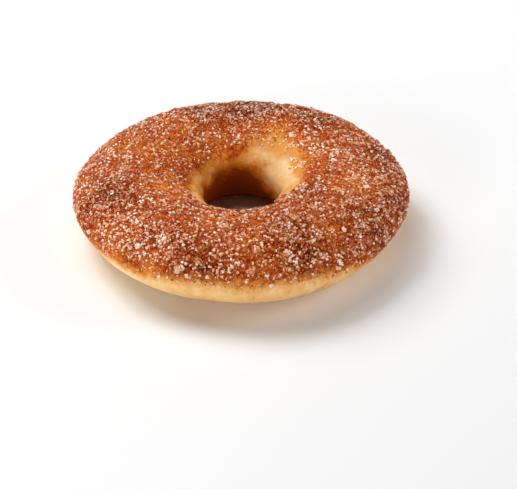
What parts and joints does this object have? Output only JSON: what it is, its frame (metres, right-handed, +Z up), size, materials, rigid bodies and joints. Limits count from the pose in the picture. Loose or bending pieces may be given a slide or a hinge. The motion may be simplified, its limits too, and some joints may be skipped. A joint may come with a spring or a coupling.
{
  "type": "doughnut",
  "caption": "Baked ring doughnut with a round hole, its rounded top coated in cinnamon sugar and its side and underside bare golden crumb.",
  "frame": {"origin": "middle of the outer box at the level of the flat foot that the doughnut stands on", "axes": "+Z up along the hole, -Y towards the front, +X to the right seen from the front"},
  "size_m": [0.084, 0.083, 0.0179],
  "materials": {
    "dough": "baked golden crumb under a brown cinnamon coat, matt and slightly rough",
    "sugar": "pale granulated sugar crystals, half clear and faintly glossy",
    "cinnamon": "dark reddish brown spice specks, matt"
  },
  "bodies": {
    "root": {"doughnut": "dough"}
  },
  "joints": []
}
